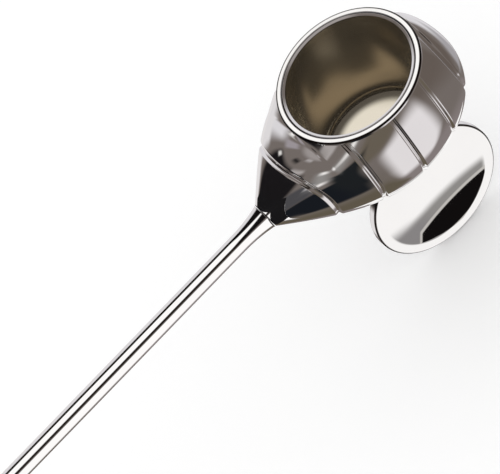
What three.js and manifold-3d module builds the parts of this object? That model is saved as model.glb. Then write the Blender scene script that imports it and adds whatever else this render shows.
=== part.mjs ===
// Candle snuffer: a plump ringed body with a cup sunk into its side, a round dished disc
// standing edge-on under the belly, and a long round handle screwed into the tail.
// Millimetres. +Z leaves the mouth of the cup, +X points to the rounded nose and the handle
// runs towards -X. The pieces are laid out from the centre of the mouth, and the finished
// group is then moved so that its origin is the centre of the cup's flat floor.
import * as THREE from 'three';
import { mergeVertices } from 'three/addons/utils/BufferGeometryUtils.js';
import Module from 'manifold-3d';

// Body: the handle's axis lies this far below the mouth, and stations run along it
const AXIS_DEPTH = 14.6;
const TAIL_X = -37.5;
const TAIL_RADIUS = 3.65;
const BELLY_X = -2.3;
const BELLY_RADIUS = 20.6;
const NOSE_X = 24.2;
const NOSE_FULLNESS = 2.2;
const NOSE_CROWN_FULLNESS = 1.5;
const TAIL_SHOULDER_POWER = 4;
const NOSE_SHOULDER_POWER = 1.3;
const SHELL_WALL = 0.8;
const CAVITY_TAIL_X = -26;
const CAVITY_ROOF = 3;

// Five grooves turned round the body. The middle three tip towards the nose at the mouth by an angle
// in degrees, and the first leans back over the tail's shoulder.
const RING_STATIONS = [-24.7, -13.8, -2.2, 9.3, 18.7];
const RING_WIDTH = 1.8;
const RING_DEPTH = 0.55;
const RING_TILT = 2.4;
const FIRST_RING_LEAN = 3;
const FIRST_RING_REACH = 8;

// Cup with a flat lip that sits on the mouth of the body: a broad outer ring, a groove and a narrow
// inner ring that slopes into the cup. The floor lies nearer to the tail, above the belly's lowest point.
const MOUTH_RADIUS = 19.2;
const LIP_WIDTH = 1.35;
const LIP_HEIGHT = 0.7;
const LIP_ROUND = 0.4;
const LIP_GROOVE_WIDTH = 0.5;
const LIP_GROOVE_DEPTH = 0.35;
const INNER_RING_WIDTH = 0.6;
const INNER_RING_FALL = 0.22;
const CUP_FLOOR_RISE = 8.2;
const CUP_CORNER = 1.8;
const CUP_LEAN = 3.8;
const CUP_WALL = 0.5;

// Handle, turned from one bar, and the stud that holds it to the tail
const ROD_DIAMETER = 5;
const ROD_LENGTH = 208;
const ROD_END_CROWN = 1.6;
const FLARE_RADIUS = 3.6;
const FLARE_LENGTH = 9;
const STUD_DIAMETER = 3;
const STUD_LENGTH = 14;
const STUD_CHAMFER = 0.3;

// Disc in the body's middle plane, just clear of the belly, with a thicker foot that straddles the belly
const DISC_RADIUS = 19.2;
const DISC_X = -1.4;
const DISC_GAP = 0.2;
const DISC_THICKNESS = 2.6;
const DISC_ROUND = 0.5;
const DISC_LAND = 2.5;
const DISH_DEPTH = 0.9;
const FOOT_THICKNESS = 5;
const FOOT_LENGTH = 14;
const FOOT_WAIST = 11;
const FOOT_DROP = 6;

// Two screws and washers hold the disc from inside the belly
const SCREW_DIAMETER = 2;
const SCREW_HEAD_DIAMETER = 3.8;
const SCREW_HEAD_HEIGHT = 1.6;
const SCREW_SPACING = 7;
const SCREW_REACH = 4.5;
const SOCKET_SIZE = 1.5;
const SOCKET_DEPTH = 0.9;
const WASHER_DIAMETER = 5;
const WASHER_THICKNESS = 0.6;
const PAD_RISE = 0.9;
const PAD_MARGIN = 0.8;
const PAD_ROOT = 0.4;

// Clearances: along cut and curved faces, between flat seats, in a threaded hole
const FIT_GAP = 0.3;
const SEAT_GAP = 0.1;
const THREAD_GAP = 0.1;

// How finely round shapes are faceted
const SECTION_STEPS = 11;
const ROUND_STEPS = 40;
const ROD_STEPS = 24;
const SMALL_STEPS = 20;

// The cavity ends a wall's thickness short of the last groove
const cavityNoseX = RING_STATIONS[RING_STATIONS.length - 1] - RING_WIDTH / 2 - SHELL_WALL;

const bellyZ = -AXIS_DEPTH - BELLY_RADIUS;
const padTopZ = bellyZ + SHELL_WALL + PAD_RISE;
const discZ = bellyZ - DISC_GAP - DISC_RADIUS;
const rimHeight = AXIS_DEPTH - LIP_HEIGHT - SEAT_GAP;
const grooveRadius = MOUTH_RADIUS - LIP_WIDTH;
const innerRingRadius = grooveRadius - LIP_GROOVE_WIDTH;
const cupMouthRadius = innerRingRadius - INNER_RING_WIDTH;
const cupDepth = AXIS_DEPTH + BELLY_RADIUS - CUP_FLOOR_RISE;

// The mouth's hole leaves room for the leaning cup
const mouthHoleRadius = cupMouthRadius + CUP_WALL + 2 * FIT_GAP;

// The floor is as wide as the belly lets it be, level with the middle of the cup's corner
const cornerDrop = cupDepth - CUP_CORNER * (1 - Math.SQRT1_2) - AXIS_DEPTH;
const cupFloorRadius = Math.sqrt((BELLY_RADIUS - SHELL_WALL) ** 2 - cornerDrop ** 2) - CUP_WALL - FIT_GAP;

// Height well clear of the mouth, for cutters
const aboveMouth = 5;

const wasm = await Module();
wasm.setup();

// A closed geometry as a solid that can be joined and cut
function solid(geometry) {
  const bare = geometry.clone();
  bare.deleteAttribute('normal');
  bare.deleteAttribute('uv');
  const merged = mergeVertices(bare, 1e-4);
  const index = merged.index.array;
  const kept = [];
  for (let i = 0; i < index.length; i += 3) {
    const [a, b, c] = [index[i], index[i + 1], index[i + 2]];
    if (a !== b && b !== c && c !== a) kept.push(a, b, c);
  }
  return new wasm.Manifold(new wasm.Mesh({
    numProp: 3,
    vertProperties: new Float32Array(merged.attributes.position.array),
    triVerts: new Uint32Array(kept),
  }));
}

// A solid back as a geometry
function geometryOf(manifold) {
  const mesh = manifold.getMesh();
  const geometry = new THREE.BufferGeometry();
  geometry.setAttribute('position', new THREE.BufferAttribute(new Float32Array(mesh.vertProperties), 3));
  geometry.setIndex(new THREE.BufferAttribute(new Uint32Array(mesh.triVerts), 1));
  geometry.computeVertexNormals();
  return geometry;
}

// A profile of [radius, height] points, starting and ending on the axis, turned about +Z
function turned(profile, steps) {
  const points = profile.map(([radius, height]) => new THREE.Vector2(radius, height));
  return new THREE.LatheGeometry(points, steps).rotateX(Math.PI / 2);
}

// Points of an arc from one angle to another, both in radians
function arc(centreX, centreY, radius, from, to, steps) {
  return Array.from({ length: steps + 1 }, (_, i) => {
    const angle = from + (to - from) * i / steps;
    return [centreX + radius * Math.cos(angle), centreY + radius * Math.sin(angle)];
  });
}

// Share of the way from one station to another, kept between 0 and 1
function share(x, from, to) {
  return Math.min(1, Math.max(0, (x - from) / (to - from)));
}

// Radius of the body's round underside: a quarter sine from tail to belly, then a full nose
function radiusAt(x) {
  if (x < BELLY_X) {
    const rise = Math.sin(share(x, TAIL_X, BELLY_X) * Math.PI / 2);
    return TAIL_RADIUS + (BELLY_RADIUS - TAIL_RADIUS) * rise;
  }
  const fall = share(x, BELLY_X, NOSE_X) ** NOSE_FULLNESS;
  return BELLY_RADIUS * (1 - fall) ** (1 / NOSE_FULLNESS);
}

// Height of the body's crown above the handle's axis: level with the rim from end to end of the mouth
function crownAt(x) {
  if (x < -MOUTH_RADIUS) {
    const rise = Math.sin(share(x, TAIL_X, -MOUTH_RADIUS) * Math.PI / 2);
    return TAIL_RADIUS + (rimHeight - TAIL_RADIUS) * rise;
  }
  const fall = share(x, MOUTH_RADIUS, NOSE_X) ** NOSE_CROWN_FULLNESS;
  return rimHeight * (1 - fall) ** (1 / NOSE_CROWN_FULLNESS);
}

// How square the shoulder is: round at the joint, squarest at the tail end of the mouth
function shoulderPowerAt(x) {
  if (x < -MOUTH_RADIUS) return 2 + (TAIL_SHOULDER_POWER - 2) * share(x, TAIL_X, -MOUTH_RADIUS);
  const forward = share(x, -MOUTH_RADIUS, MOUTH_RADIUS);
  return TAIL_SHOULDER_POWER + (NOSE_SHOULDER_POWER - TAIL_SHOULDER_POWER) * forward;
}

// Half width of the body at a height above the axis: it narrows from the round underside to the mouth's circle
function halfWidthAt(x, height) {
  const radius = radiusAt(x);
  const mouthSquared = Math.max(0, MOUTH_RADIUS ** 2 - x ** 2);
  const level = height / Math.max(crownAt(x), 1e-6);
  const narrowing = (radius ** 2 - mouthSquared) * level ** shoulderPowerAt(x);
  return Math.sqrt(Math.max(0, radius ** 2 - narrowing));
}

// One section from its lowest point up one side: a quarter circle, then the narrowing shoulder.
// inset draws the section in towards the handle's axis by that much, and tilt tips its plane.
function halfSection({ x, inset, lean, tilt }, roofZ) {
  const points = [];
  for (let i = 0; i <= SECTION_STEPS; i += 1) {
    const angle = i / SECTION_STEPS * Math.PI / 2;
    const stationX = x - tilt * radiusAt(x) * Math.cos(angle);
    points.push([stationX, radiusAt(stationX) * Math.sin(angle), -radiusAt(stationX) * Math.cos(angle)]);
  }
  for (let i = 1; i <= SECTION_STEPS; i += 1) {
    const climb = Math.sin(i / SECTION_STEPS * Math.PI / 2);
    const stationX = x - lean * climb ** 2 + tilt * climb * crownAt(x);
    const height = climb * Math.min(roofZ + AXIS_DEPTH, crownAt(stationX));
    points.push([stationX, halfWidthAt(stationX, height), height]);
  }
  return points.map(([stationX, y, height]) => {
    const reach = Math.hypot(y, height);
    const kept = reach > inset ? 1 - inset / reach : 0;
    return [stationX, y * kept, height * kept - AXIS_DEPTH];
  });
}

// A closed skin over the sections at the stations, with both ends closed flat
function loft(stations, roofZ) {
  const rings = stations.map((station) => {
    const half = halfSection(station, roofZ);
    const mirrored = half.slice(1).reverse().map(([x, y, z]) => [x, y, z]);
    return [...half.map(([x, y, z]) => [x, -y, z]), ...mirrored];
  });
  const count = rings[0].length;
  const positions = rings.flat(2);
  const index = [];
  for (let i = 0; i + 1 < rings.length; i += 1) {
    for (let j = 0; j < count; j += 1) {
      const next = (j + 1) % count;
      const [a, b] = [i * count + j, i * count + next];
      const [c, d] = [a + count, b + count];
      index.push(a, d, b, a, c, d);
    }
  }
  for (const [ring, turn] of [[0, 1], [rings.length - 1, -1]]) {
    const [x, , z] = rings[ring][SECTION_STEPS];
    const hub = positions.length / 3;
    positions.push(x, 0, z);
    for (let j = 0; j < count; j += 1) {
      const [a, b] = [ring * count + j, ring * count + (j + 1) % count];
      if (turn > 0) index.push(hub, a, b);
      else index.push(hub, b, a);
    }
  }
  const geometry = new THREE.BufferGeometry();
  geometry.setAttribute('position', new THREE.Float32BufferAttribute(positions, 3));
  geometry.setIndex(index);
  return solid(geometry);
}

// Stations spread evenly over a stretch of the body
function evenStations(from, to, pitch, inset) {
  const count = Math.ceil((to - from) / pitch);
  return Array.from({ length: count + 1 }, (_, i) => (
    { x: from + (to - from) * i / count, inset, lean: 0, tilt: 0 }));
}

// Lean of a station over the tail's shoulder, greatest at the first ring
function leanAt(x) {
  return FIRST_RING_LEAN * Math.max(0, 1 - Math.abs(x - RING_STATIONS[0]) / FIRST_RING_REACH);
}

// Slope of a station's plane: full at the middle rings, none at the first and last ring and beyond
function tiltAt(x) {
  const rise = share(x, RING_STATIONS[0], RING_STATIONS[1]);
  const fall = share(x, RING_STATIONS[3], RING_STATIONS[4]);
  return Math.tan(THREE.MathUtils.degToRad(RING_TILT)) * rise * (1 - fall);
}

// The whole outside of the body with its ring grooves
function bodyOutside() {
  const stationPitch = 1.7;
  const tipStart = RING_STATIONS[RING_STATIONS.length - 1] + RING_WIDTH / 2;
  const tipStations = [0.4, 0.75, 0.9, 0.97, 1].map((u) => tipStart + u * (NOSE_X - tipStart));
  const plain = evenStations(TAIL_X, tipStart, stationPitch, 0).map(({ x }) => x).concat(tipStations);
  const clearOfRings = plain.filter((x) => RING_STATIONS.every((ring) => Math.abs(x - ring) > RING_WIDTH));
  const stations = clearOfRings.map((x) => ({ x, inset: 0, lean: leanAt(x), tilt: tiltAt(x) }));
  for (const ring of RING_STATIONS) {
    for (const side of [-1, -0.35, 0.35, 1]) {
      const x = ring + side * RING_WIDTH / 2;
      stations.push({ x, inset: Math.abs(side) < 1 ? RING_DEPTH : 0, lean: leanAt(x), tilt: tiltAt(x) });
    }
  }
  stations.sort((a, b) => a.x - b.x);
  return loft(stations, aboveMouth);
}

// Axis-aligned block between two corners
function block(low, high) {
  const size = high.map((value, i) => value - low[i]);
  const geometry = new THREE.BoxGeometry(...size);
  geometry.translate(...low.map((value, i) => value + size[i] / 2));
  return solid(geometry);
}

// Round bar along Z between two heights
function uprightBar(x, radius, lowZ, highZ) {
  const geometry = turned([[0, lowZ], [radius, lowZ], [radius, highZ], [0, highZ]], SMALL_STEPS);
  return solid(geometry.translate(x, 0, 0));
}

const screwStations = [['front', DISC_X + SCREW_SPACING / 2], ['rear', DISC_X - SCREW_SPACING / 2]];

// Body: outside, hollowed, with a pad for the washers and its holes
function bodyShell() {
  const outside = bodyOutside();
  const cavityPitch = 2.6;
  const hollow = loft(evenStations(CAVITY_TAIL_X, cavityNoseX, cavityPitch, SHELL_WALL), -CAVITY_ROOF);
  const mouthHole = solid(turned(
    [[0, -AXIS_DEPTH], [mouthHoleRadius, -AXIS_DEPTH], [mouthHoleRadius, aboveMouth], [0, aboveMouth]],
    ROUND_STEPS));
  const padHalfLength = SCREW_SPACING / 2 + WASHER_DIAMETER / 2 + PAD_MARGIN;
  const padHalfWidth = WASHER_DIAMETER / 2 + PAD_MARGIN;
  const pad = block(
    [DISC_X - padHalfLength, -padHalfWidth, bellyZ + SHELL_WALL - PAD_ROOT],
    [DISC_X + padHalfLength, padHalfWidth, padTopZ]).intersect(outside);
  const studHoleDepth = STUD_LENGTH / 2 + FIT_GAP;
  const studHole = new THREE.CylinderGeometry(
    STUD_DIAMETER / 2 + THREAD_GAP, STUD_DIAMETER / 2 + THREAD_GAP, 2 * studHoleDepth, SMALL_STEPS);
  studHole.rotateZ(Math.PI / 2).translate(TAIL_X, 0, -AXIS_DEPTH);
  let shell = outside.subtract(hollow).subtract(mouthHole).add(pad);
  shell = shell.subtract(solid(studHole));
  for (const [, x] of screwStations) {
    shell = shell.subtract(uprightBar(x, SCREW_DIAMETER / 2 + FIT_GAP, bellyZ - aboveMouth, padTopZ + aboveMouth));
  }
  return geometryOf(shell);
}

// Cup: floor, rounded corner, leaning wall and flat lip in one turned piece, then sheared
function cupLiner() {
  const outerCorner = CUP_CORNER + CUP_WALL;
  const wallFoot = cupFloorRadius - CUP_CORNER;
  const grooveSlope = LIP_GROOVE_WIDTH / 4;
  const profile = [
    [0, -cupDepth - CUP_WALL],
    ...arc(wallFoot, -cupDepth + CUP_CORNER, outerCorner, -Math.PI / 2, 0, 5),
    [cupMouthRadius + CUP_WALL, -LIP_HEIGHT],
    [MOUTH_RADIUS, -LIP_HEIGHT],
    ...arc(MOUTH_RADIUS - LIP_ROUND, -LIP_ROUND, LIP_ROUND, 0, Math.PI / 2, 3),
    [grooveRadius, 0],
    [grooveRadius - grooveSlope, -LIP_GROOVE_DEPTH],
    [innerRingRadius + grooveSlope, -LIP_GROOVE_DEPTH],
    [innerRingRadius, 0],
    [cupMouthRadius, -INNER_RING_FALL],
    ...arc(wallFoot, -cupDepth + CUP_CORNER, CUP_CORNER, 0, -Math.PI / 2, 5),
    [0, -cupDepth],
  ];
  const geometry = turned(profile, ROUND_STEPS);
  const position = geometry.attributes.position;
  for (let i = 0; i < position.count; i += 1) {
    const depth = share(-position.getZ(i), LIP_HEIGHT, cupDepth);
    position.setX(i, position.getX(i) - CUP_LEAN * depth);
  }
  return geometryOf(solid(geometry));
}

// Handle: domed end, straight bar, trumpet flare and the stud's blind hole, turned in one
function handleRod() {
  const radius = ROD_DIAMETER / 2;
  const holeRadius = STUD_DIAMETER / 2 + THREAD_GAP;
  const domeSteps = 6;
  const flareSteps = 7;
  const dome = Array.from({ length: domeSteps + 1 }, (_, i) => {
    const angle = i / domeSteps * Math.PI / 2;
    return [radius * Math.sin(angle), -ROD_LENGTH + ROD_END_CROWN * (1 - Math.cos(angle))];
  });
  const flare = Array.from({ length: flareSteps + 1 }, (_, i) => {
    const u = i / flareSteps;
    return [radius + (FLARE_RADIUS - radius) * u ** 2, -FLARE_LENGTH * (1 - u)];
  });
  const holeFloor = -STUD_LENGTH / 2 - FIT_GAP;
  const profile = [...dome, ...flare, [holeRadius, 0], [holeRadius, holeFloor], [0, holeFloor]];
  const geometry = turned(profile, ROD_STEPS).rotateY(Math.PI / 2);
  return geometry.translate(TAIL_X - FIT_GAP, 0, -AXIS_DEPTH);
}

// Stud across the joint, half in the handle and half in the tail
function jointStud() {
  const radius = STUD_DIAMETER / 2;
  const half = STUD_LENGTH / 2;
  const profile = [
    [0, -half], [radius - STUD_CHAMFER, -half], [radius, STUD_CHAMFER - half],
    [radius, half - STUD_CHAMFER], [radius - STUD_CHAMFER, half], [0, half]];
  const geometry = turned(profile, SMALL_STEPS).rotateY(Math.PI / 2);
  return geometry.translate(TAIL_X - FIT_GAP / 2, 0, -AXIS_DEPTH);
}

// Disc: dished alike on both faces inside a flat land and rounded edges, with a waisted foot
// cut to the belly
function bellyDisc() {
  const half = DISC_THICKNESS / 2;
  const roundRadius = DISC_RADIUS - DISC_ROUND;
  const dishRadius = roundRadius - DISC_LAND;
  const dishSteps = 6;
  const face = Array.from({ length: dishSteps + 1 }, (_, i) => {
    const u = i / dishSteps;
    return [dishRadius * u, half - DISH_DEPTH * (1 - u ** 2)];
  });
  const profile = [
    ...face.map(([radius, height]) => [radius, -height]),
    ...arc(roundRadius, DISC_ROUND - half, DISC_ROUND, -Math.PI / 2, 0, 4),
    ...arc(roundRadius, half - DISC_ROUND, DISC_ROUND, 0, Math.PI / 2, 4),
    ...face.reverse()];
  const points = profile.map(([radius, height]) => new THREE.Vector2(radius, height));
  const disc = new THREE.LatheGeometry(points, ROUND_STEPS + 8).translate(DISC_X, 0, discZ);

  const footTop = bellyZ + BELLY_RADIUS / 4;
  const footLow = bellyZ - FOOT_DROP;
  const outline = new THREE.Shape();
  outline.moveTo(-FOOT_WAIST / 2, footLow);
  outline.quadraticCurveTo(-FOOT_WAIST / 2, bellyZ, -FOOT_LENGTH / 2, footTop);
  outline.lineTo(FOOT_LENGTH / 2, footTop);
  outline.quadraticCurveTo(FOOT_WAIST / 2, bellyZ, FOOT_WAIST / 2, footLow);
  const foot = new THREE.ExtrudeGeometry(outline, { depth: FOOT_THICKNESS, bevelEnabled: false, curveSegments: 6 });
  foot.rotateX(Math.PI / 2).translate(DISC_X, FOOT_THICKNESS / 2, 0);

  const bellyPitch = 1.5;
  const reach = FOOT_LENGTH / 2 + bellyPitch;
  const belly = loft(evenStations(DISC_X - reach, DISC_X + reach, bellyPitch, -FIT_GAP), -CAVITY_ROOF);
  let plate = solid(disc).add(solid(foot)).subtract(belly);
  for (const [, x] of screwStations) {
    const holeLow = bellyZ - SCREW_REACH - FIT_GAP;
    plate = plate.subtract(uprightBar(x, SCREW_DIAMETER / 2 + THREAD_GAP, holeLow, padTopZ));
  }
  return geometryOf(plate);
}

// Screw pointing down out of the belly, with a hexagonal socket in its head
function discScrew(x) {
  const shank = SCREW_DIAMETER / 2;
  const head = SCREW_HEAD_DIAMETER / 2;
  const seat = padTopZ + WASHER_THICKNESS + 2 * SEAT_GAP;
  const top = seat + SCREW_HEAD_HEIGHT;
  const profile = [
    [0, bellyZ - SCREW_REACH], [shank, bellyZ - SCREW_REACH], [shank, seat],
    [head, seat], [head, top], [0, top]];
  const body = solid(turned(profile, SMALL_STEPS).translate(x, 0, 0));
  const socket = new THREE.CylinderGeometry(SOCKET_SIZE / 2, SOCKET_SIZE / 2, 2 * SOCKET_DEPTH, 6);
  socket.rotateX(Math.PI / 2).translate(x, 0, top);
  return geometryOf(body.subtract(solid(socket)));
}

// Plain washer under a screw's head
function discWasher(x) {
  const low = padTopZ + SEAT_GAP;
  const high = low + WASHER_THICKNESS;
  const plate = uprightBar(x, WASHER_DIAMETER / 2, low, high);
  const hole = uprightBar(x, SCREW_DIAMETER / 2 + FIT_GAP, low - aboveMouth, high + aboveMouth);
  return geometryOf(plate.subtract(hole));
}

// Polished plating outside, satin inside the cup, plain steel for what is hidden
const finishes = {
  polished: { color: 0xd9d7d6, roughness: 0.06, metalness: 1 },
  satin: { color: 0xa79d8a, roughness: 0.35, metalness: 1 },
  steel: { color: 0x9a9a9c, roughness: 0.3, metalness: 1 },
};

const snuffer = new THREE.Group();
snuffer.name = 'candle_snuffer';
snuffer.position.set(CUP_LEAN, 0, cupDepth);

function place(name, geometry, finish) {
  const mesh = new THREE.Mesh(geometry, new THREE.MeshStandardMaterial(finishes[finish]));
  mesh.name = name;
  snuffer.add(mesh);
}

place('handle_rod', handleRod(), 'polished');
place('joint_stud', jointStud(), 'steel');
place('body_shell', bodyShell(), 'polished');
place('cup_liner', cupLiner(), 'satin');
place('belly_disc', bellyDisc(), 'polished');
for (const [end, x] of screwStations) {
  place(`disc_screw_${end}`, discScrew(x), 'steel');
  place(`disc_washer_${end}`, discWasher(x), 'steel');
}

export default snuffer;
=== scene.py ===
"""Candle snuffer: the visible model, its materials, and the studio it is shown in."""

import math

import bpy
import numpy as np
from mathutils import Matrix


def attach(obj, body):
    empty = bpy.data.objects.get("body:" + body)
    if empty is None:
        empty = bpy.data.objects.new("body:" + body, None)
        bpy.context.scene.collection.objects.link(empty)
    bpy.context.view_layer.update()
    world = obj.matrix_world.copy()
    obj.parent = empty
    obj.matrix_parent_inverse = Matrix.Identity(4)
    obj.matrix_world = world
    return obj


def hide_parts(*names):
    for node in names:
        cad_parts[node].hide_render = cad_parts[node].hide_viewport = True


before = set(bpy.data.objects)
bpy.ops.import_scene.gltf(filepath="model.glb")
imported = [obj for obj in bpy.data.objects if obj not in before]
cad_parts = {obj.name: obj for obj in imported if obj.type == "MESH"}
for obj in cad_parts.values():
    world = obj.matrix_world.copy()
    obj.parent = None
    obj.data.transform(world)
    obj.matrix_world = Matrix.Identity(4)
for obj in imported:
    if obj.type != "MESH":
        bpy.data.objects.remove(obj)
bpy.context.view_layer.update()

# Sizes in millimetres, and angles in degrees
MM = 0.001

# Body: the handle's axis lies this far below the mouth, and stations run along it
AXIS_DEPTH = 14.6
TAIL_X = -37.5
TAIL_RADIUS = 3.65
BELLY_X = -2.3
BELLY_RADIUS = 20.6
NOSE_X = 24.2
NOSE_FULLNESS = 2.2
NOSE_CROWN_FULLNESS = 1.5
TAIL_SHOULDER_POWER = 4.0
NOSE_SHOULDER_POWER = 1.3

# Grooves turned round the body: the middle ones tip, and the first leans back over the shoulder
RING_STATIONS = (-24.7, -13.8, -2.2, 9.3, 18.7)
RING_WIDTH = 1.8
RING_DEPTH = 0.55
RING_TILT = 2.4
FIRST_RING_LEAN = 3.0
FIRST_RING_REACH = 8.0

# Cup and its flat lip; the body's rim lies a little under the lip and ends short of the cup's wall
MOUTH_RADIUS = 19.2
RIM_DROP = 0.8
RIM_GAP = 0.3
LIP_WIDTH = 1.35
LIP_ROUND = 0.4
LIP_GROOVE_WIDTH = 0.5
LIP_GROOVE_DEPTH = 0.35
INNER_RING_WIDTH = 0.6
INNER_RING_FALL = 0.22
CUP_MOUTH_RADIUS = MOUTH_RADIUS - LIP_WIDTH - LIP_GROOVE_WIDTH - INNER_RING_WIDTH
CUP_DEPTH = 27.0
CUP_FLOOR_RADIUS = 15.0
CUP_CORNER = 1.8
CUP_LEAN = 3.8

# Handle
ROD_RADIUS = 2.5
ROD_LENGTH = 208.0
ROD_END_CROWN = 1.6
FLARE_RADIUS = 3.6
FLARE_LENGTH = 9.0
FLARE_EDGE = 0.12
JOINT_GAP = 0.3

# Disc under the belly, and its foot
DISC_RADIUS = 19.2
DISC_X = -1.4
DISC_GAP = 0.2
DISC_Z = -AXIS_DEPTH - BELLY_RADIUS - DISC_GAP - DISC_RADIUS
DISC_THICKNESS = 2.6
DISC_ROUND = 0.5
DISC_LAND = 2.5
DISH_DEPTH = 0.9
FOOT_THICKNESS = 5.0
FOOT_LENGTH = 14.0
FOOT_WAIST = 11.0
FOOT_DROP = 6.0
FOOT_RISE = 1.0
FOOT_CORNER_POWER = 0.25

# Share of an edge's rounding over which the painted dark reflection on it fades
PAINTED_SHADE_FADE = 0.3

# Where the centre of the cup's mouth lies in the row frame.
# All shapes below are laid out from the centre of the mouth.
MOUTH_CENTRE = np.array([CUP_LEAN, 0.0, CUP_DEPTH])

# Height of the body's rim above the handle's axis
RIM_HEIGHT = AXIS_DEPTH - RIM_DROP

# Lengths below this count as none, and no normal is divided by less than the second value
NEAR_ZERO = 1e-6
LEAST_NORMAL = 1e-9


def share(value, start, end):
    """How far value lies from start to end, kept between 0 and 1."""
    return np.clip((value - start) / (end - start), 0.0, 1.0)


def radius_at(x):
    """Radius of the round underside: a quarter sine from tail to belly, then a superellipse to the nose."""
    tail = TAIL_RADIUS + (BELLY_RADIUS - TAIL_RADIUS) * np.sin(share(x, TAIL_X, BELLY_X) * math.pi / 2)
    nose = BELLY_RADIUS * (1 - share(x, BELLY_X, NOSE_X) ** NOSE_FULLNESS) ** (1 / NOSE_FULLNESS)
    return np.where(x < BELLY_X, tail, nose)


def crown_at(x):
    """Height of the crown above the axis: a quarter sine up the tail, level at the rim, down at the nose."""
    tail = TAIL_RADIUS + (RIM_HEIGHT - TAIL_RADIUS) * np.sin(share(x, TAIL_X, -MOUTH_RADIUS) * math.pi / 2)
    fall = share(x, MOUTH_RADIUS, NOSE_X) ** NOSE_CROWN_FULLNESS
    nose = RIM_HEIGHT * (1 - fall) ** (1 / NOSE_CROWN_FULLNESS)
    return np.where(x < -MOUTH_RADIUS, tail, nose)


def shoulder_power_at(x):
    """Power of the shoulder's curve.

    It is a circle's at the joint, rises evenly to the tail end of the mouth and falls evenly to the nose.
    """
    circle_power = 2
    tail = circle_power + (TAIL_SHOULDER_POWER - circle_power) * share(x, TAIL_X, -MOUTH_RADIUS)
    over_mouth = share(x, -MOUTH_RADIUS, MOUTH_RADIUS)
    front = TAIL_SHOULDER_POWER + (NOSE_SHOULDER_POWER - TAIL_SHOULDER_POWER) * over_mouth
    return np.where(x < -MOUTH_RADIUS, tail, front)


def half_width_at(x, height):
    """Half width of the body at a height above the axis.

    Its square goes from the radius squared to that of the mouth's circle, by a power of the height's share.
    """
    radius = radius_at(x)
    mouth = np.maximum(0.0, MOUTH_RADIUS**2 - x**2)
    level = height / np.maximum(crown_at(x), NEAR_ZERO)
    return np.sqrt(np.maximum(0.0, radius**2 - (radius**2 - mouth) * level ** shoulder_power_at(x)))


def surface(name, points, material, stands_for=(), wrap=False, sharp=35.0, painted_shade=None):
    """A mesh over a grid of points: rows run along the first parameter, columns along the second.

    Points of the grid that fall together are joined, and triangles without area are left out.
    Edges that turn by more than sharp stay sharp, and the last argument gives each point of the grid
    its share of painted shade, from 0 to 1: painted shade in grooves, painted dark reflection on edges.
    """
    rows, columns = points.shape[:2]
    vertices = (points.reshape(-1, 3) + MOUTH_CENTRE) * MM
    grid = np.arange(rows * columns).reshape(rows, columns)
    if wrap:
        grid = np.concatenate([grid, grid[:, :1]], axis=1)
    a, b = grid[:-1, :-1].ravel(), grid[:-1, 1:].ravel()
    c, d = grid[1:, 1:].ravel(), grid[1:, :-1].ravel()
    triangles = np.concatenate([np.stack([a, b, c], 1), np.stack([a, c, d], 1)])
    rounded = np.round(vertices, decimals=8)
    _, first, joined = np.unique(rounded, axis=0, return_index=True, return_inverse=True)
    triangles = joined.reshape(-1)[triangles]
    whole = (triangles[:, 0] != triangles[:, 1]) & (triangles[:, 1] != triangles[:, 2])
    whole &= triangles[:, 0] != triangles[:, 2]
    triangles = triangles[whole]
    vertices = vertices[first]
    mesh = bpy.data.meshes.new(name)
    mesh.vertices.add(len(vertices))
    mesh.vertices.foreach_set("co", vertices.astype(np.float32).ravel())
    mesh.loops.add(triangles.size)
    mesh.loops.foreach_set("vertex_index", triangles.astype(np.int32).ravel())
    mesh.polygons.add(len(triangles))
    mesh.polygons.foreach_set("loop_start", np.arange(0, triangles.size, 3, dtype=np.int32))
    mesh.polygons.foreach_set("use_smooth", np.ones(len(triangles), dtype=bool))
    mesh.update(calc_edges=True)
    # Painted shade: each point's share of the dark colour painted in place of shade and dark reflections
    shade_share = np.zeros(rows * columns) if painted_shade is None else painted_shade.ravel()
    layer = mesh.attributes.new("painted_shade", "FLOAT", "POINT")
    layer.data.foreach_set("value", shade_share[first].astype(np.float32))
    mesh.validate()
    mesh.set_sharp_from_angle(angle=math.radians(sharp))
    mesh.materials.append(material)
    piece = bpy.data.objects.new(name, mesh)
    bpy.context.scene.collection.objects.link(piece)
    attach(piece, "root")
    if stands_for:
        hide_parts(*stands_for)
    return piece


def turned(profile, steps):
    """A profile of (radius, height) turned about the vertical: x and y are radius times cosine and sine."""
    angle = np.linspace(0, 2 * math.pi, steps, endpoint=False)
    radius, height = profile[:, :1], profile[:, 1:]
    flat = np.zeros_like(angle)
    return np.stack([radius * np.cos(angle), radius * np.sin(angle), height + flat], axis=2)


def arc(centre_x, centre_y, radius, start, end, steps):
    """Points on a circle from one angle to another, in degrees."""
    angle = np.radians(np.linspace(start, end, steps))
    return np.stack([centre_x + radius * np.cos(angle), centre_y + radius * np.sin(angle)], axis=1)


def line(start, end, steps):
    """Points evenly spread between two points."""
    return np.linspace(start, end, steps)


def body_stations():
    """Stations along the body: even ones, a close set across each groove, and close ones near the tip."""
    even = np.linspace(TAIL_X, NOSE_X, 150)
    past_both_edges = np.linspace(-1.1, 1.1, 23)
    grooves = [ring + RING_WIDTH / 2 * past_both_edges for ring in RING_STATIONS]
    tip = NOSE_X - (NOSE_X - RING_STATIONS[-1]) * np.linspace(0, 1, 40) ** 3
    stations = np.concatenate([even, tip, *grooves])
    return np.unique(np.round(stations, decimals=3))


def groove_at(x):
    """Depth of the ring grooves: a raised cosine across the width of each."""
    depth = np.zeros_like(x)
    for ring in RING_STATIONS:
        across = np.clip((x - ring) / (RING_WIDTH / 2), -1, 1)
        depth += RING_DEPTH * 0.5 * (1 + np.cos(math.pi * across))
    return depth


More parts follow.
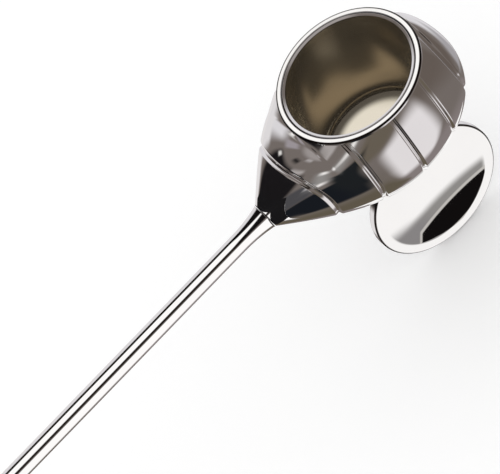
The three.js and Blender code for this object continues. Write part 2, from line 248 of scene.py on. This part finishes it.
def body_skin(material):
    """Body: stations along x and, round each, a lower quarter circle and an upper shoulder up to the rim.

    Stations tip towards the nose by a slope times the height above the axis, full at the middle rings.
    The first ring and its neighbours lean back over the shoulder by the square of the height.
    Grooves are pressed in along the surface's own normal, the cross product of its two slopes.
    """
    x = body_stations()[:, None]
    low = np.radians(np.linspace(0, 90, 50))[None, :]
    climb = np.sin(np.radians(np.linspace(0, 90, 60)))[None, 1:]
    lean = FIRST_RING_LEAN * np.maximum(0.0, 1 - np.abs(x - RING_STATIONS[0]) / FIRST_RING_REACH)
    tilt = math.tan(math.radians(RING_TILT)) * share(x, RING_STATIONS[0], RING_STATIONS[1])
    tilt = tilt * (1 - share(x, RING_STATIONS[3], RING_STATIONS[4]))
    low_x = x - tilt * radius_at(x) * np.cos(low)
    high_x = x - lean * climb**2 + tilt * climb * crown_at(x)
    height = climb * crown_at(high_x)
    half = np.stack([
        np.concatenate([low_x, high_x], axis=1),
        np.concatenate([radius_at(low_x) * np.sin(low), half_width_at(high_x, height)], axis=1),
        np.concatenate([-radius_at(low_x) * np.cos(low), height], axis=1) - AXIS_DEPTH,
    ], axis=2)
    normal = np.cross(np.gradient(half, axis=1), np.gradient(half, axis=0))
    normal /= np.maximum(np.linalg.norm(normal, axis=2, keepdims=True), LEAST_NORMAL)
    normal[:, -1, 1] *= half[:, -1, 1] > NEAR_ZERO
    normal[:, 0, 1] = 0.0
    half -= groove_at(x)[:, :, None] * normal
    open_top = half[:, -1, 1] > NEAR_ZERO
    half[open_top, -1, 2] = RIM_HEIGHT - AXIS_DEPTH
    reach = np.hypot(half[:, -1, 0], half[:, -1, 1])
    shrink = np.minimum(1.0, (CUP_MOUTH_RADIUS + RIM_GAP) / np.maximum(reach, NEAR_ZERO))
    inward = np.where(open_top, shrink, 1.0)
    ledge = half[:, -1:] * np.stack([inward, inward, np.ones_like(inward)], axis=1)[:, None, :]
    half = np.concatenate([half, ledge], axis=1)
    left = (half * np.array([1, -1, 1]))[:, ::-1]
    points = np.concatenate([left, half[:, 1:]], axis=1)
    return surface("body", points, material, ["body_shell"])


def cup_profile():
    """Inside of the cup from under the lip: leaning wall, rounded corner and flat floor."""
    wall_top = [CUP_MOUTH_RADIUS, -INNER_RING_FALL]
    foot = CUP_FLOOR_RADIUS - CUP_CORNER
    corner = arc(foot, CUP_CORNER - CUP_DEPTH, CUP_CORNER, start=0, end=-90, steps=28)
    return np.concatenate([
        line(wall_top, corner[0], steps=80)[:-1],
        corner,
        line([foot, -CUP_DEPTH], [0, -CUP_DEPTH], steps=30)[1:],
    ])


def leaned(points):
    """The cup's floor shifted towards the tail: x less the lean, in step with the depth under the lip."""
    shifted = points.copy()
    shifted[..., 0] -= CUP_LEAN * share(-points[..., 2], RIM_DROP, CUP_DEPTH)
    return shifted


def cup_bowl(material):
    """Satin inside of the cup: its profile turned about the mouth's axis and leaned."""
    points = leaned(turned(cup_profile(), steps=240))
    return surface("cup", points, material, ["cup_liner"], wrap=True)


def cup_lip(material):
    """Lip: outer wall, rounded edge, flat ring, a groove like a raised cosine, and a sloping inner ring."""
    groove_outside = MOUTH_RADIUS - LIP_WIDTH
    across = np.linspace(0, 1, 25)
    groove = np.stack([
        groove_outside - LIP_GROOVE_WIDTH * across,
        -LIP_GROOVE_DEPTH * 0.5 * (1 - np.cos(2 * math.pi * across)),
    ], axis=1)
    profile = np.concatenate([
        line([MOUTH_RADIUS, -RIM_DROP], [MOUTH_RADIUS, -LIP_ROUND], steps=6)[:-1],
        arc(MOUTH_RADIUS - LIP_ROUND, -LIP_ROUND, LIP_ROUND, start=0, end=90, steps=14),
        line([MOUTH_RADIUS - LIP_ROUND, 0], [groove_outside, 0], steps=10)[1:-1],
        groove,
        line(groove[-1], [CUP_MOUTH_RADIUS, -INNER_RING_FALL], steps=8)[1:],
    ])
    points = turned(profile, steps=300)
    # Painted shade in the groove, and a painted dark reflection along the outer edge's rounding
    in_groove = np.sin(math.pi * share(profile[:, 0], groove[-1, 0], groove[0, 0])) ** 2
    edge_start = MOUTH_RADIUS - (1 + PAINTED_SHADE_FADE) * LIP_ROUND
    over_edge = share(profile[:, 0], edge_start, MOUTH_RADIUS - LIP_ROUND)
    on_edge = over_edge * share(profile[:, 1], -LIP_ROUND, -(1 - PAINTED_SHADE_FADE) * LIP_ROUND)
    shade_share = np.maximum(in_groove, on_edge)[:, None] + 0 * points[:, :, 0]
    return surface("lip", points, material, ["cup_liner"], wrap=True, painted_shade=shade_share)


def handle(material):
    """Handle: dome, bar and trumpet flare as radius against length, turned about the handle's axis."""
    angle = np.radians(np.linspace(0, 90, 20))
    dome = np.stack([ROD_RADIUS * np.sin(angle), -ROD_LENGTH + ROD_END_CROWN * (1 - np.cos(angle))], axis=1)
    u = np.linspace(0, 1, 40)
    mouth = FLARE_RADIUS - FLARE_EDGE
    flare = np.stack([ROD_RADIUS + (mouth - ROD_RADIUS) * u**2, -FLARE_LENGTH * (1 - u) - FLARE_EDGE], axis=1)
    profile = np.concatenate([
        dome,
        line(dome[-1], flare[0], steps=60)[1:-1],
        flare,
        arc(mouth, -FLARE_EDGE, FLARE_EDGE, start=0, end=90, steps=6),
        line([mouth, 0], [0, 0], steps=4)[1:],
    ])
    around = turned(profile, steps=96)
    points = np.stack([
        around[..., 2] + TAIL_X - JOINT_GAP,
        around[..., 1],
        around[..., 0] - AXIS_DEPTH,
    ], axis=2)
    return surface("handle", points, material, ["handle_rod"], wrap=True)


def disc_profile():
    """Half of the disc's section: parabolic dish, flat land, quarter round and half of the side."""
    half = DISC_THICKNESS / 2
    round_radius = DISC_RADIUS - DISC_ROUND
    dish_radius = round_radius - DISC_LAND
    u = np.linspace(0, 1, 70)
    dish = np.stack([dish_radius * u, half - DISH_DEPTH * (1 - u**2)], axis=1)
    edge = arc(round_radius, half - DISC_ROUND, DISC_ROUND, start=90, end=0, steps=22)
    return np.concatenate([dish, line(dish[-1], edge[0], steps=8)[1:-1], edge])


def disc(material):
    """Disc: the half section and its mirror image turned about the disc's own axis, which lies along y."""
    face = disc_profile()
    profile = np.concatenate([face, face[::-1] * np.array([1, -1])])
    around = turned(profile, steps=240)
    points = np.stack([around[..., 0] + DISC_X, -around[..., 2], around[..., 1] + DISC_Z], axis=2)
    # Painted dark reflection along the rounding of the disc's rim
    wall = DISC_THICKNESS / 2 - DISC_ROUND
    edge_end = DISC_RADIUS - (1 - PAINTED_SHADE_FADE) * DISC_ROUND
    over_edge = share(profile[:, 0], DISC_RADIUS - DISC_ROUND, edge_end)
    off_wall = share(np.abs(profile[:, 1]), wall, wall + PAINTED_SHADE_FADE * DISC_ROUND)
    shade_share = (over_edge * off_wall)[:, None] + 0 * points[:, :, 0]
    return surface("disc", points, material, ["belly_disc"], wrap=True, sharp=30.0, painted_shade=shade_share)


def disc_foot(material):
    """Foot of the disc: a superellipse whose length spreads by the square of the height towards the belly.

    The middle of its first and last row closes each end.
    """
    angle = np.linspace(0, 2 * math.pi, 96, endpoint=False)
    lengthwise = np.sign(np.cos(angle)) * np.abs(np.cos(angle)) ** FOOT_CORNER_POWER
    across = np.sign(np.sin(angle)) * np.abs(np.sin(angle)) ** FOOT_CORNER_POWER
    u = np.linspace(0, 1, 24)[:, None]
    length = FOOT_WAIST / 2 + (FOOT_LENGTH - FOOT_WAIST) / 2 * u**2
    low = -AXIS_DEPTH - BELLY_RADIUS - FOOT_DROP
    points = np.stack([
        DISC_X + length * lengthwise,
        FOOT_THICKNESS / 2 * across + 0 * u,
        low + (FOOT_DROP + FOOT_RISE) * u + 0 * lengthwise,
    ], axis=2)
    middles = np.broadcast_to(points.mean(axis=1, keepdims=True), points.shape)
    points = np.concatenate([middles[:1], points, middles[-1:]])
    return surface("disc_foot", points, material, wrap=True)


# Painted shade: the dark colour laid in the lip's groove as shade and on edge roundings as a painted dark
# reflection, with the polish dulled there
PAINTED_SHADE_COLOUR = (0.035, 0.028, 0.024)
PAINTED_SHADE_ROUGHNESS = 0.12

# Sockets of a colour Mix node: its two colours, and its result among the outputs
MIX_FIRST = 6
MIX_SECOND = 7
MIX_RESULT = 2


def node(tree, kind, **settings):
    """A new shader node; settings named like its sockets set those, and the others set its properties."""
    made = tree.nodes.new(kind)
    for name, value in settings.items():
        socket = made.inputs.get(name.replace("_", " "))
        if socket is not None:
            socket.default_value = value
        else:
            setattr(made, name, value)
    return made


def metal(name, colour, smudge, roughness, wave, grain):
    """Metal whose colour and roughness drift with soft noise, with a faint waviness in its surface.

    colour and smudge are the ends of the colour's range, roughness its range, wave the bump's
    strength, and grain the stretch of the fine noise along x, y and z. Where the mesh carries
    painted shade, laid in grooves and on edge roundings in place of shade and dark reflections,
    the colour darkens and the polish dulls.
    """
    material = bpy.data.materials.new(name)
    material.use_nodes = True
    tree = material.node_tree
    tree.nodes.clear()
    place = node(tree, "ShaderNodeTexCoord")
    soft = node(tree, "ShaderNodeTexNoise", Scale=90.0, Detail=3.0)
    stretch = node(tree, "ShaderNodeMapping", Scale=grain)
    fine = node(tree, "ShaderNodeTexNoise", Scale=1.0, Detail=4.0)
    tint = node(tree, "ShaderNodeMix", data_type="RGBA")
    tint.inputs[MIX_FIRST].default_value = (*colour, 1)
    tint.inputs[MIX_SECOND].default_value = (*smudge, 1)
    rough = node(tree, "ShaderNodeMapRange")
    rough.inputs["To Min"].default_value = roughness[0]
    rough.inputs["To Max"].default_value = roughness[1]
    # Share of painted shade and painted dark reflection, read from the mesh
    painted_shade = node(tree, "ShaderNodeAttribute", attribute_name="painted_shade")
    shaded_colour = node(tree, "ShaderNodeMix", data_type="RGBA")
    shaded_colour.inputs[MIX_SECOND].default_value = (*PAINTED_SHADE_COLOUR, 1)
    dulled = node(tree, "ShaderNodeMath", operation="MULTIPLY_ADD")
    dulled.inputs[1].default_value = PAINTED_SHADE_ROUGHNESS
    bump = node(tree, "ShaderNodeBump", Strength=wave, Distance=0.0004)
    shader = node(tree, "ShaderNodeBsdfPrincipled", Metallic=1.0)
    out = node(tree, "ShaderNodeOutputMaterial")
    link = tree.links.new
    link(place.outputs["Object"], soft.inputs["Vector"])
    link(place.outputs["Object"], stretch.inputs["Vector"])
    link(stretch.outputs["Vector"], fine.inputs["Vector"])
    link(soft.outputs["Fac"], tint.inputs["Factor"])
    link(tint.outputs[MIX_RESULT], shaded_colour.inputs[MIX_FIRST])
    link(painted_shade.outputs["Fac"], shaded_colour.inputs["Factor"])
    link(shaded_colour.outputs[MIX_RESULT], shader.inputs["Base Color"])
    link(fine.outputs["Fac"], rough.inputs["Value"])
    link(painted_shade.outputs["Fac"], dulled.inputs[0])
    link(rough.outputs["Result"], dulled.inputs[2])
    link(dulled.outputs["Value"], shader.inputs["Roughness"])
    link(fine.outputs["Fac"], bump.inputs["Height"])
    link(bump.outputs["Normal"], shader.inputs["Normal"])
    link(shader.outputs["BSDF"], out.inputs["Surface"])
    return material


# The studio as the polished metal sees it: name, colour, azimuth of the middle, half width,
# lowest and highest elevation, and softness of the edges, in degrees. Azimuth 0 is the front (-Y)
# and 90 is +X, and a half width of ALL_ROUND has no sides. Later entries lie over earlier ones.
ALL_ROUND = 180
STUDIO = (
    ("table", (0.25, 0.217, 0.213), 0, ALL_ROUND, -95, -62, 10),
    ("olive_left", (0.125, 0.105, 0.075), -82, 62, -95, -55, 14),
    ("right_dusk", (0.14, 0.115, 0.10), 68, 32, -31, 6, 6),
    ("back_wall", (0.77, 0.755, 0.78), 156, 40, -47, 44, 8),
    ("left_low", (0.82, 0.80, 0.80), -150, 28, -45, -9, 5),
    ("dark_left", (0.010, 0.009, 0.010), -124, 24, -4, 42, 4),
    ("dark_corner", (0.010, 0.009, 0.010), -94, 16, -4, 33, 4),
    ("brown_front", (0.145, 0.122, 0.094), -17, 24, -24, 14, 7),
    ("front_window", (0.83, 0.80, 0.81), 9, 26, -72, -29, 7),
    ("grey_gap", (0.075, 0.074, 0.080), -69, 10, -22, 8, 4),
    ("blue_gap", (0.010, 0.012, 0.016), -54, 15, -54, -22, 3),
    ("blue_edge", (0.014, 0.016, 0.018), -42, 8, -52, 3, 4),
    ("lamp_halo", (0.30, 0.29, 0.28), -56, 6, -8, 30, 6),
    ("lamp", (1.0, 0.97, 0.95), -56, 3, -10, -3, 4),
    ("lamp_high", (0.95, 0.93, 0.91), -54, 4, 22, 30, 4),
    ("lamp_left", (0.90, 0.88, 0.90), -63, 2, -2, 2, 3),
    ("streak", (0.36, 0.33, 0.35), -160, 9, 46, 62, 4),
    ("glint", (0.80, 0.78, 0.75), -143, 3, 35, 40, 2),
    ("pale_bits", (0.46, 0.43, 0.42), -93, 11, 36, 42, 4),
    ("pale_high", (0.46, 0.43, 0.43), -95, 8, 61, 67, 4),
    ("dark_bit", (0.020, 0.018, 0.018), -115, 7, 50, 57, 4),
    ("left_fill", (0.80, 0.78, 0.79), -170, 13, -12, 15, 5),
    ("nose_dusk", (0.40, 0.385, 0.40), 120, 16, -48, -32, 6),
    ("top_light", (0.36, 0.33, 0.32), 0, ALL_ROUND, 68, 95, 5),
    ("dark_front", (0.02, 0.016, 0.013), -5, 32, 34, 64, 5),
    ("back_lamp", (1.10, 1.09, 1.07), 173, 8, 45, 60, 4),
)
STUDIO_BASE = (0.185, 0.16, 0.147)


def studio_world():
    """World: white to the camera, even light to matt surfaces, and the studio's panels to polished metal."""
    world = bpy.data.worlds.new("studio")
    world.use_nodes = True
    bpy.context.scene.world = world
    tree = world.node_tree
    tree.nodes.clear()
    link = tree.links.new
    place = node(tree, "ShaderNodeTexCoord")
    parts = node(tree, "ShaderNodeSeparateXYZ")
    link(place.outputs["Generated"], parts.inputs["Vector"])
    rise = node(tree, "ShaderNodeMath", operation="ARCSINE")
    link(parts.outputs["Z"], rise.inputs[0])

    def edge(value, start, soft):
        """Smooth step from 0 to 1 about start."""
        step = node(tree, "ShaderNodeMapRange", interpolation_type="SMOOTHSTEP")
        step.inputs["From Min"].default_value = math.radians(start - soft)
        step.inputs["From Max"].default_value = math.radians(start + soft)
        link(value, step.inputs["Value"])
        return step.outputs["Result"]

    def times(first, second):
        """Product of two values."""
        product = node(tree, "ShaderNodeMath", operation="MULTIPLY")
        link(first, product.inputs[0])
        link(second, product.inputs[1])
        return product.outputs["Value"]

    def rest(value):
        """One less the value."""
        left = node(tree, "ShaderNodeMath", operation="SUBTRACT")
        left.inputs[0].default_value = 1.0
        link(value, left.inputs[1])
        return left.outputs["Value"]

    seen = None
    for _, colour, middle, half, low, high, soft in STUDIO:
        mask = times(edge(rise.outputs["Value"], low, soft), rest(edge(rise.outputs["Value"], high, soft)))
        if half < ALL_ROUND:
            turn = math.radians(middle)
            ahead = node(tree, "ShaderNodeVectorMath", operation="DOT_PRODUCT")
            ahead.inputs[1].default_value = (math.sin(turn), -math.cos(turn), 0)
            aside = node(tree, "ShaderNodeVectorMath", operation="DOT_PRODUCT")
            aside.inputs[1].default_value = (math.cos(turn), math.sin(turn), 0)
            link(place.outputs["Generated"], ahead.inputs[0])
            link(place.outputs["Generated"], aside.inputs[0])
            bearing = node(tree, "ShaderNodeMath", operation="ARCTAN2")
            link(aside.outputs["Value"], bearing.inputs[0])
            link(ahead.outputs["Value"], bearing.inputs[1])
            away = node(tree, "ShaderNodeMath", operation="ABSOLUTE")
            link(bearing.outputs["Value"], away.inputs[0])
            mask = times(mask, rest(edge(away.outputs["Value"], half, soft)))
        mix = node(tree, "ShaderNodeMix", data_type="RGBA")
        link(mask, mix.inputs["Factor"])
        if seen is None:
            mix.inputs[MIX_FIRST].default_value = (*STUDIO_BASE, 1)
        else:
            link(seen, mix.inputs[MIX_FIRST])
        mix.inputs[MIX_SECOND].default_value = (*colour, 1)
        seen = mix.outputs[MIX_RESULT]

    path = node(tree, "ShaderNodeLightPath")
    even = node(tree, "ShaderNodeMix", data_type="RGBA")
    even.inputs[MIX_FIRST].default_value = (1, 1, 1, 1)
    link(path.outputs["Is Glossy Ray"], even.inputs["Factor"])
    link(seen, even.inputs[MIX_SECOND])
    back = node(tree, "ShaderNodeBackground", Strength=1.0)
    out = node(tree, "ShaderNodeOutputWorld")
    link(even.outputs[MIX_RESULT], back.inputs["Color"])
    link(back.outputs["Background"], out.inputs["Surface"])


def stage_plane(name, corners, material):
    """A flat sheet; its corners are in millimetres from the mouth's centre."""
    mesh = bpy.data.meshes.new(name)
    mesh.from_pydata(((np.array(corners) + MOUTH_CENTRE) * MM).tolist(), [], [range(len(corners))])
    mesh.materials.append(material)
    sheet = bpy.data.objects.new(name, mesh)
    bpy.context.scene.collection.objects.link(sheet)
    return sheet


def plain(name, colour, glow):
    """A matt sheet of one colour, with some light of its own."""
    material = bpy.data.materials.new(name)
    material.use_nodes = True
    shader = material.node_tree.nodes["Principled BSDF"]
    shader.inputs["Base Color"].default_value = (*colour, 1)
    shader.inputs["Roughness"].default_value = 1.0
    shader.inputs["Specular IOR Level"].default_value = 0.0
    shader.inputs["Emission Color"].default_value = (*colour, 1)
    shader.inputs["Emission Strength"].default_value = glow
    return material


def floor():
    """Pale floor level with the disc's lowest point; polished metal doesn't mirror it."""
    level = DISC_Z - DISC_RADIUS
    reach = 4000
    sheet = stage_plane(
        "floor",
        [(-reach, -reach, level), (reach, -reach, level), (reach, reach, level), (-reach, reach, level)],
        plain("floor_white", (0.94, 0.94, 0.94), 0.10),
    )
    sheet.visible_glossy = False


def along(direction, start, end):
    """A step along a direction: where it starts and is complete, in millimetres from the mouth's centre."""
    offset = float(np.dot(direction, MOUTH_CENTRE))
    return "DOT_PRODUCT", direction, (start + offset) * MM, (end + offset) * MM


def about(centre, start, end):
    """A step by the distance from a point: where it starts and is complete, in millimetres."""
    return "DISTANCE", (np.array(centre) + MOUTH_CENTRE) * MM, start * MM, end * MM


def painted_light(name, layers):
    """A card's own light: layers of colour laid over one another, each let in by smooth steps.

    A layer is its colour and a list of steps, which along() and about() describe.
    """
    material = bpy.data.materials.new(name)
    material.use_nodes = True
    tree = material.node_tree
    tree.nodes.clear()
    link = tree.links.new
    place = node(tree, "ShaderNodeTexCoord")
    seen = None
    for colour, steps in layers:
        mask = None
        for measure, vector, start, end in steps:
            reading = node(tree, "ShaderNodeVectorMath", operation=measure)
            reading.inputs[1].default_value = vector
            link(place.outputs["Object"], reading.inputs[0])
            step = node(tree, "ShaderNodeMapRange", interpolation_type="SMOOTHSTEP")
            step.inputs["From Min"].default_value = min(start, end)
            step.inputs["From Max"].default_value = max(start, end)
            step.inputs["To Min"].default_value = float(start > end)
            step.inputs["To Max"].default_value = float(start < end)
            link(reading.outputs["Value"], step.inputs["Value"])
            if mask is None:
                mask = step.outputs["Result"]
            else:
                both = node(tree, "ShaderNodeMath", operation="MULTIPLY")
                link(mask, both.inputs[0])
                link(step.outputs["Result"], both.inputs[1])
                mask = both.outputs["Value"]
        mix = node(tree, "ShaderNodeMix", data_type="RGBA", Factor=1.0)
        if seen is not None:
            link(seen, mix.inputs[MIX_FIRST])
        if mask is not None:
            link(mask, mix.inputs["Factor"])
        mix.inputs[MIX_SECOND].default_value = (*colour, 1)
        seen = mix.outputs[MIX_RESULT]
    light = node(tree, "ShaderNodeEmission", Strength=1.0)
    out = node(tree, "ShaderNodeOutputMaterial")
    link(seen, light.inputs["Color"])
    link(light.outputs["Emission"], out.inputs["Surface"])
    return material


def card(name, corners, layers):
    """A card of the studio that only polished metal sees."""
    sheet = stage_plane(name, corners, painted_light(name, layers))
    sheet.visible_camera = False
    sheet.visible_diffuse = False
    sheet.visible_transmission = False
    sheet.visible_volume_scatter = False
    sheet.visible_shadow = False


def upright(low_x, high_x, y, low_z, high_z):
    """Corners of an upright sheet that faces the front."""
    return [(low_x, y, low_z), (high_x, y, low_z), (high_x, y, high_z), (low_x, y, high_z)]


def level_sheet(low_x, high_x, low_y, high_y, z):
    """Corners of a level sheet."""
    return [(low_x, low_y, z), (high_x, low_y, z), (high_x, high_y, z), (low_x, high_y, z)]


def level_disc(x, radius, z):
    """Corners of a level round sheet."""
    angle = np.linspace(0, 2 * math.pi, 48, endpoint=False)
    return np.stack([x + radius * np.cos(angle), radius * np.sin(angle), z + 0 * angle], axis=1)


X_AXIS = (1, 0, 0)
Y_AXIS = (0, 1, 0)
Z_AXIS = (0, 0, 1)
STRIPE_WHITE = (1.12, 1.11, 1.10)
CEILING_DARK = (0.02, 0.016, 0.013)
CARD_BLACK = (0.006, 0.005, 0.005)


def handle_cards():
    """Cards in front of the handle and over it, each with a white stripe; the upper tapers at the flare."""
    far_end = -260
    flare_end = -38.4
    handle_grey = (0.17, 0.15, 0.14)
    over_rod = 6 - AXIS_DEPTH
    front_taper = (0.2, 1, 0)
    rear_taper = (-0.175, 1, 0)
    over_flare = along(X_AXIS, -50, -46)
    card("handle_front", upright(far_end, flare_end, y=-8, low_z=-31, high_z=-9.6), [
        (handle_grey, []),
        (STRIPE_WHITE, [along(Z_AXIS, -30, -22), along(Z_AXIS, -9.8, -10.8)]),
    ])
    card("handle_sky", level_sheet(far_end, flare_end, low_y=-7.6, high_y=5.0, z=over_rod), [
        (CEILING_DARK, []),
        (STRIPE_WHITE, [along(Y_AXIS, -4.2, -3.4), along(Y_AXIS, 1.5, 0.8)]),
        (CARD_BLACK, [along(front_taper, -9.2, -8.4), over_flare]),
        (CARD_BLACK, [along(rear_taper, 5.4, 4.6), over_flare]),
    ])


def joint_card():
    """Dark upright card at the joint, over the flare and down its front, for the end of the tail."""
    shade = (0.010, 0.0095, 0.0105)
    x = -38.2
    front, rear = -7.9, 6
    top, bottom = -7.4, -18.5
    over, beside = FLARE_RADIUS - AXIS_DEPTH, -FLARE_RADIUS
    corners = [
        (x, front, top), (x, rear, top), (x, rear, over),
        (x, beside, over), (x, beside, bottom), (x, front, bottom),
    ]
    card("joint_shade", corners, [(shade, [])])


def cup_cards():
    """Cards in the cup: a dark lid under the mouth, and two just over the floor.

    The floor mirrors the lower one, which is bright and dims to the right and towards its rim. The
    wall mirrors the upper one, which is brown with dusky parts, a pale front and a dark rim.
    """
    lid_radius, lid_level = CUP_MOUTH_RADIUS - 0.2, -0.6
    floor_x = -3.7
    glow_radius, glow_level = 14.1, -26.45
    shade_radius, shade_level = 14.2, -26.4
    floor_centre = (floor_x, 0, shade_level)
    glow = (1.15, 1.14, 1.12)
    glow_right = (0.62, 0.60, 0.54)
    glow_rim = (0.12, 0.11, 0.10)
    brown = (0.32, 0.25, 0.165)
    dusk = (0.055, 0.045, 0.032)
    pale_front = (0.60, 0.53, 0.43)
    dark_rim = (0.03, 0.025, 0.02)
    card("cup_lid", level_disc(0, lid_radius, lid_level), [(CEILING_DARK, [])])
    card("cup_glow", level_disc(floor_x, glow_radius, glow_level), [
        (glow, []),
        (glow_right, [along((0.8, 0.6, 0), 6, 13)]),
        (glow_rim, [about(floor_centre, 11.2, 13.8)]),
    ])
    card("cup_shade", level_disc(floor_x, shade_radius, shade_level), [
        (brown, []),
        (dusk, [along(Y_AXIS, 2.5, -0.5)]),
        (dusk, [along((0.55, 1, 0), 9.6, 8.2), along(X_AXIS, -0.5, 1.5)]),
        (dusk, [along(Y_AXIS, 7.6, 6.0), along(X_AXIS, -2.0, -4.2)]),
        (pale_front, [along(Y_AXIS, -7.8, -11.0)]),
        (dark_rim, [about(floor_centre, 10.4, 12.8)]),
    ])


def disc_card():
    """Card in front of the disc: white, with grey for the dish alone and a black lens with a pale edge.

    The directions top to low_right lie across the sides of the grey and of the lens, and dish_seen is
    the point of the card that a flat disc would mirror at its middle.
    """
    white = (1.04, 1.03, 1.02)
    grey = (0.30, 0.29, 0.28)
    left_grey = (0.27, 0.26, 0.26)
    pale_edge = (0.58, 0.56, 0.53)
    y = -6
    dish_seen = (DISC_X + 0.2, y, DISC_Z - 5.6)
    top, left_top, right = (-0.045, 0, 1), (1, 0, -0.9), (1, 0, -0.4)
    rise, low_left, low_right = (0.42, 0, 1), (0.48, 0, 1), (-0.66, 0, 1)
    card("disc_front", upright(-26, 26, y, low_z=-92, high_z=-46), [
        (white, []),
        (grey, [
            along(Z_AXIS, -63.3, -66.1), along(Z_AXIS, -76, -75), along(right, 40.3, 39.0),
            about(dish_seen, 16.4, 14.4), along(low_right, -78.2, -77.5),
        ]),
        (left_grey, [
            along(rise, -66.4, -71.2), along(X_AXIS, -3, -9), about(dish_seen, 16.6, 14.8),
        ]),
        (pale_edge, [
            along(top, -67.45, -67.75), along(left_top, 50.9, 51.5), along(right, 40.0, 39.4),
            along(low_left, -77.4, -77.0), along(low_right, -77.8, -77.4),
        ]),
        (CARD_BLACK, [
            along(top, -68.3, -68.55), along(left_top, 51.8, 52.4), along(X_AXIS, 12.3, 11.9),
            along(low_left, -77.0, -76.6), along(low_right, -77.4, -77.0), along(Z_AXIS, -75.3, -74.8),
        ]),
    ])


# The camera that the photograph was fitted with: its turn, height and roll in degrees, its place
# along its own right, up and back directions in millimetres from the mouth's centre, and the
# focal length as a share of the picture's width.
CAMERA_AZIMUTH = -2.89
CAMERA_ELEVATION = 49.94
CAMERA_ROLL = -43.74
CAMERA_PLACE = (-23.37, -38.99, 624.0)
CAMERA_FOCAL = 5.2


def camera():
    """Camera at the photograph's angle."""
    azimuth, elevation, roll = np.radians([CAMERA_AZIMUTH, CAMERA_ELEVATION, CAMERA_ROLL])
    right = np.array([math.cos(azimuth), math.sin(azimuth), 0])
    back = np.array([
        math.sin(azimuth) * math.cos(elevation),
        -math.cos(azimuth) * math.cos(elevation),
        math.sin(elevation),
    ])
    up = np.cross(back, right)
    rolled_right = math.cos(roll) * right + math.sin(roll) * up
    rolled_up = -math.sin(roll) * right + math.cos(roll) * up
    axes = np.stack([rolled_right, rolled_up, back], axis=1)
    matrix = np.eye(4)
    matrix[:3, :3] = axes
    matrix[:3, 3] = (axes @ np.array(CAMERA_PLACE) + MOUTH_CENTRE) * MM
    data = bpy.data.cameras.new("camera")
    data.sensor_fit = "HORIZONTAL"
    data.sensor_width = 36.0
    data.lens = CAMERA_FOCAL * data.sensor_width
    data.clip_start = 0.01
    data.clip_end = 50.0
    made = bpy.data.objects.new("camera", data)
    bpy.context.scene.collection.objects.link(made)
    made.matrix_world = matrix.T.tolist()
    bpy.context.scene.camera = made


polished = metal(
    "polished_chrome", colour=(0.90, 0.89, 0.885), smudge=(0.86, 0.85, 0.85),
    roughness=(0.025, 0.05), wave=0.004, grain=(140, 140, 140),
)
satin = metal(
    "turned_satin", colour=(0.70, 0.65, 0.55), smudge=(0.62, 0.57, 0.48),
    roughness=(0.20, 0.26), wave=0.012, grain=(60, 60, 900),
)
steel = metal(
    "machined_steel", colour=(0.56, 0.56, 0.57), smudge=(0.48, 0.48, 0.49),
    roughness=(0.22, 0.34), wave=0.02, grain=(900, 900, 200),
)

body_skin(polished)
cup_bowl(satin)
cup_lip(polished)
handle(polished)
disc(polished)
disc_foot(polished)
for hidden in ("joint_stud", "disc_screw_front", "disc_screw_rear", "disc_washer_front", "disc_washer_rear"):
    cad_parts[hidden].data.materials.clear()
    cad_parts[hidden].data.materials.append(steel)

floor()
handle_cards()
joint_card()
cup_cards()
disc_card()
studio_world()
camera()
bpy.context.scene.view_settings.view_transform = "Standard"
